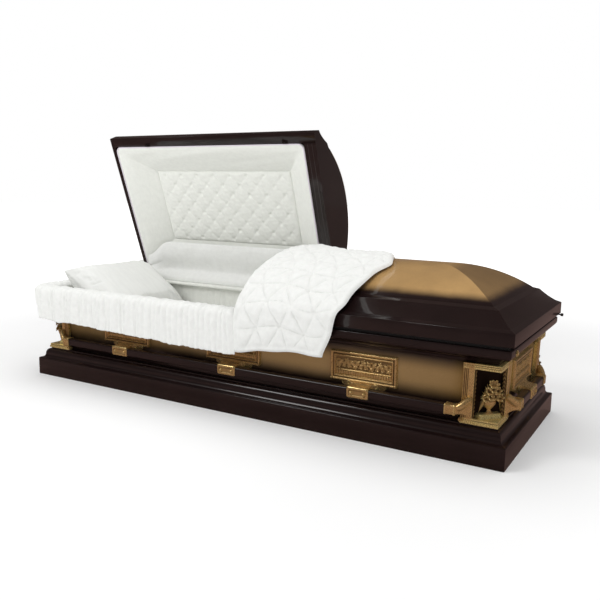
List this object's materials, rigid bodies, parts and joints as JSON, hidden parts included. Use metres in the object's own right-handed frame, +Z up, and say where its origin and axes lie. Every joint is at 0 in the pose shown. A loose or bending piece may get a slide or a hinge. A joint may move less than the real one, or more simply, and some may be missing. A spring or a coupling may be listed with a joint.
{
  "type": "funeral casket",
  "caption": "Full-size steel casket with a domed split lid, its head half open on a white tufted, shirred and quilted interior, with carrying bars and cast corner fittings.",
  "frame": {"origin": "centre of the underside that the casket rests on", "axes": "+X along the length to the foot end, -Y to the front, +Y to the hinge side, +Z up"},
  "size_m": [2.146, 0.8484, 1.0863],
  "materials": {
    "paint": "high gloss, shaded",
    "antique_brass": "antique, dark recesses",
    "white_cloth": "soft crepe",
    "lining": "soft crepe",
    "seal": "matte",
    "steel": "plain"
  },
  "bodies": {
    "casket": {"base_moulding_front": "paint", "body_wall_front": "paint", "body_rim_front": "paint", "base_moulding_rear": "paint", "body_wall_rear": "paint", "body_rim_rear": "paint", "base_moulding_foot": "paint", "body_wall_foot": "paint", "body_rim_foot": "paint", "base_moulding_head": "paint", "body_wall_head": "paint", "body_rim_head": "paint", "bottom_pan": "paint", "gasket": "seal", "body_lining": "lining", "bed_deck": "steel", "mattress": "white_cloth", "pillow": "white_cloth", "apron": "white_cloth", "rear_flap": "lining", "lock_cap": "antique_brass", "hinge_head_outer_body_leaf": "steel", "hinge_head_inner_body_leaf": "steel", "hinge_foot_inner_body_leaf": "steel", "hinge_foot_outer_body_leaf": "steel", "bar_front": "paint", "bar_rear": "paint", "bar_foot": "paint", "bar_head": "paint", "bracket_front_1": "antique_brass", "bracket_front_2": "antique_brass", "bracket_front_3": "antique_brass", "bracket_rear_1": "antique_brass", "bracket_rear_2": "antique_brass", "bracket_rear_3": "antique_brass", "bracket_foot": "antique_brass", "bracket_head": "antique_brass", "corner_casting_front_foot": "antique_brass", "corner_ornament_front_foot": "antique_brass", "corner_casting_front_head": "antique_brass", "corner_ornament_front_head": "antique_brass", "corner_casting_rear_foot": "antique_brass", "corner_ornament_rear_foot": "antique_brass", "corner_casting_rear_head": "antique_brass", "corner_ornament_rear_head": "antique_brass"},
    "head_lid": {"head_lid_shell": "paint", "head_lid_header": "paint", "head_lid_surround": "lining", "head_lid_tufted_panel": "lining", "lid_catch_head": "steel", "lid_catch_middle": "steel", "lid_strap": "antique_brass", "hinge_head_outer_lid_leaf": "steel", "hinge_head_inner_lid_leaf": "steel"},
    "foot_lid": {"foot_lid_shell": "paint", "foot_lid_header": "paint", "foot_lid_lining": "lining", "quilted_throw": "white_cloth", "hinge_foot_inner_lid_leaf": "steel", "hinge_foot_outer_lid_leaf": "steel"}
  },
  "joints": [
    {"name": "head_lid_hinge", "type": "hinge", "parent": "casket", "child": "head_lid", "pos_m": [0, 0.3635, 0.3835], "axis": [-1, 0, 0], "range_deg": [-70.5, 0], "deforming": ["apron", "rear_flap", "pillow", "quilted_throw"]},
    {"name": "foot_lid_hinge", "type": "hinge", "parent": "casket", "child": "foot_lid", "pos_m": [0, 0.3635, 0.3835], "axis": [-1, 0, 0], "range_deg": [0, 70.5]}
  ]
}
